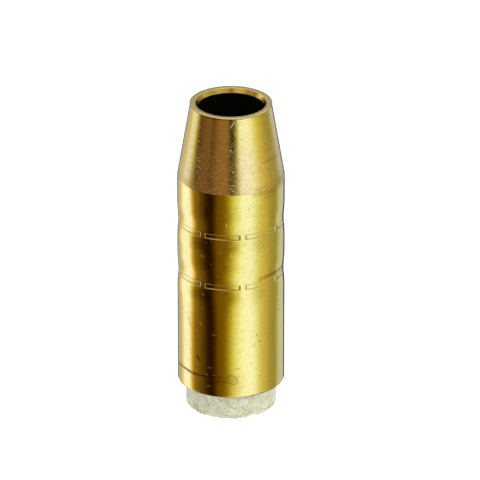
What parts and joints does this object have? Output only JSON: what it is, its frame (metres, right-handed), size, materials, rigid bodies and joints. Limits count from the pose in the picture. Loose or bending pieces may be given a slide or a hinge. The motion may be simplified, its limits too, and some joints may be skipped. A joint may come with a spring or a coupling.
{
  "type": "insulated mig welding torch gas nozzle",
  "caption": "Tapered brass gas nozzle for a MIG welding torch: a shell crimped over a glass-fibre insulating sleeve and a slip-on brass insert.",
  "frame": {"origin": "centre of the rear face of the glass-fibre sleeve, which the nozzle stands on and which meets the torch", "axes": "+Z along the nozzle's axis towards its mouth; +X and +Y across it, with -Y towards the picture's camera"},
  "size_m": [0.0254, 0.0254, 0.0776],
  "materials": {
    "drawn_brass": "satin",
    "glass_fibre": "matte",
    "reamed_brass": "satin"
  },
  "bodies": {
    "root": {"nozzle_shell": "drawn_brass", "insulator_sleeve": "glass_fibre", "slip_on_insert": "reamed_brass"}
  },
  "joints": []
}
